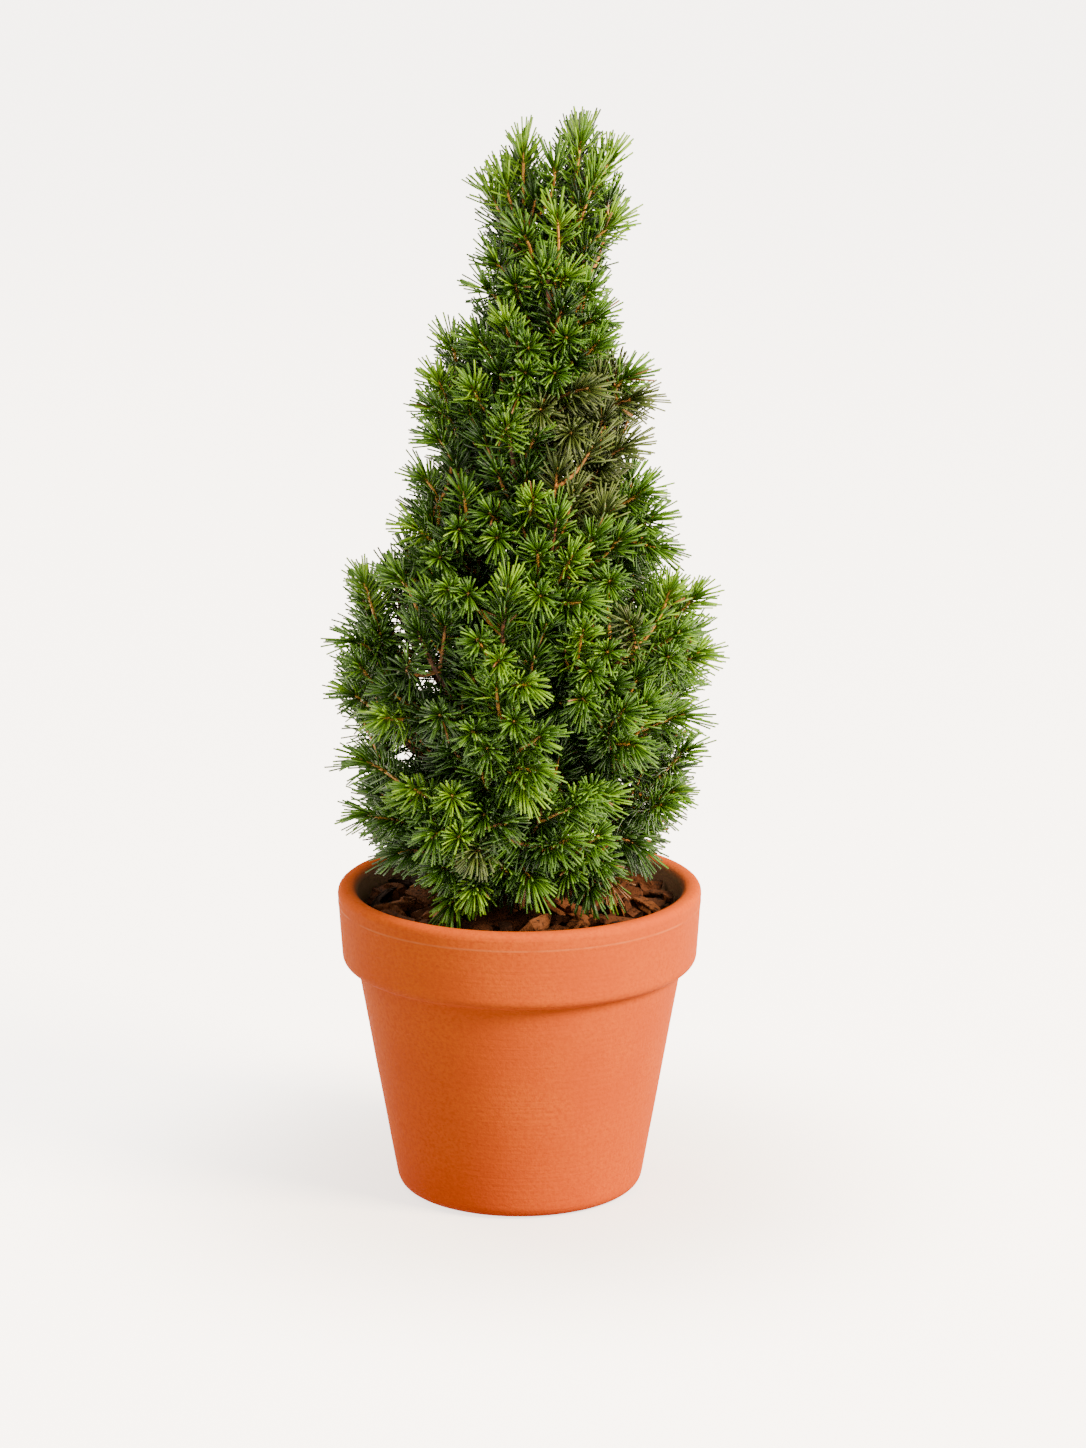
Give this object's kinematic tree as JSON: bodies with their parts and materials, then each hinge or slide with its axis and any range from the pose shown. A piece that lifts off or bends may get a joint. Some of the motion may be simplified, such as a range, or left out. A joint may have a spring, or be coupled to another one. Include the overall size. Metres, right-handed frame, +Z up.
{
  "type": "potted alberta spruce",
  "caption": "Young conical spruce with dense shoots of short needles round a tapered trunk, standing in a round clay pot with a thick rim and a bark mulch.",
  "frame": {"origin": "centre of the pot's flat underside, on the pot's axis", "axes": "+Z up along the pot's axis, towards the plant's tip; -Y towards the plant's front, the side with the upright front shoot; +X to the right seen from the front"},
  "size_m": [0.166, 0.1646, 0.4717],
  "materials": {
    "terracotta": "unglazed fired clay, matt, fine grain",
    "potting_mix": "damp crumbly peat and fine bark",
    "bark_chips": "rough broken pine bark chips",
    "spruce_bark": "thin scaly bark, orange-brown on young wood",
    "spruce_needles": "waxy short needles, brighter at the shoot tips"
  },
  "bodies": {
    "root": {"bark_mulch": "bark_chips", "bough_front_plume": "spruce_bark", "bough_left_plume": "spruce_bark", "bough_middle_1": "spruce_bark", "bough_middle_2": "spruce_bark", "bough_middle_3": "spruce_bark", "bough_middle_4": "spruce_bark", "bough_middle_5": "spruce_bark", "bough_right_plume": "spruce_bark", "bough_second_leader": "spruce_bark", "bough_shoulder_1": "spruce_bark", "bough_shoulder_2": "spruce_bark", "bough_shoulder_3": "spruce_bark", "bough_shoulder_4": "spruce_bark", "bough_shoulder_5": "spruce_bark", "foliage_front_plume": "spruce_needles", "foliage_head_1": "spruce_needles", "foliage_head_2": "spruce_needles", "foliage_head_3": "spruce_needles", "foliage_leader": "spruce_needles", "foliage_left_plume": "spruce_needles", "foliage_low_1": "spruce_needles", "foliage_low_2": "spruce_needles", "foliage_low_3": "spruce_needles", "foliage_low_4": "spruce_needles", "foliage_low_5": "spruce_needles", "foliage_low_left_shoot": "spruce_needles", "foliage_middle_1": "spruce_needles", "foliage_middle_2": "spruce_needles", "foliage_middle_3": "spruce_needles", "foliage_middle_4": "spruce_needles", "foliage_middle_5": "spruce_needles", "foliage_neck_1": "spruce_needles", "foliage_neck_2": "spruce_needles", "foliage_neck_3": "spruce_needles", "foliage_right_plume": "spruce_needles", "foliage_second_leader": "spruce_needles", "foliage_shoulder_1": "spruce_needles", "foliage_shoulder_2": "spruce_needles", "foliage_shoulder_3": "spruce_needles", "foliage_shoulder_4": "spruce_needles", "foliage_shoulder_5": "spruce_needles", "foliage_skirt_1": "spruce_needles", "foliage_skirt_2": "spruce_needles", "foliage_skirt_3": "spruce_needles", "foliage_skirt_4": "spruce_needles", "foliage_skirt_5": "spruce_needles", "foliage_upper_1": "spruce_needles", "foliage_upper_2": "spruce_needles", "foliage_upper_3": "spruce_needles", "foliage_upper_4": "spruce_needles", "foliage_waist_1": "spruce_needles", "foliage_waist_2": "spruce_needles", "foliage_waist_3": "spruce_needles", "foliage_waist_4": "spruce_needles", "foliage_waist_5": "spruce_needles", "pot": "terracotta", "potting_mix": "potting_mix", "trunk": "spruce_bark"}
  },
  "joints": []
}
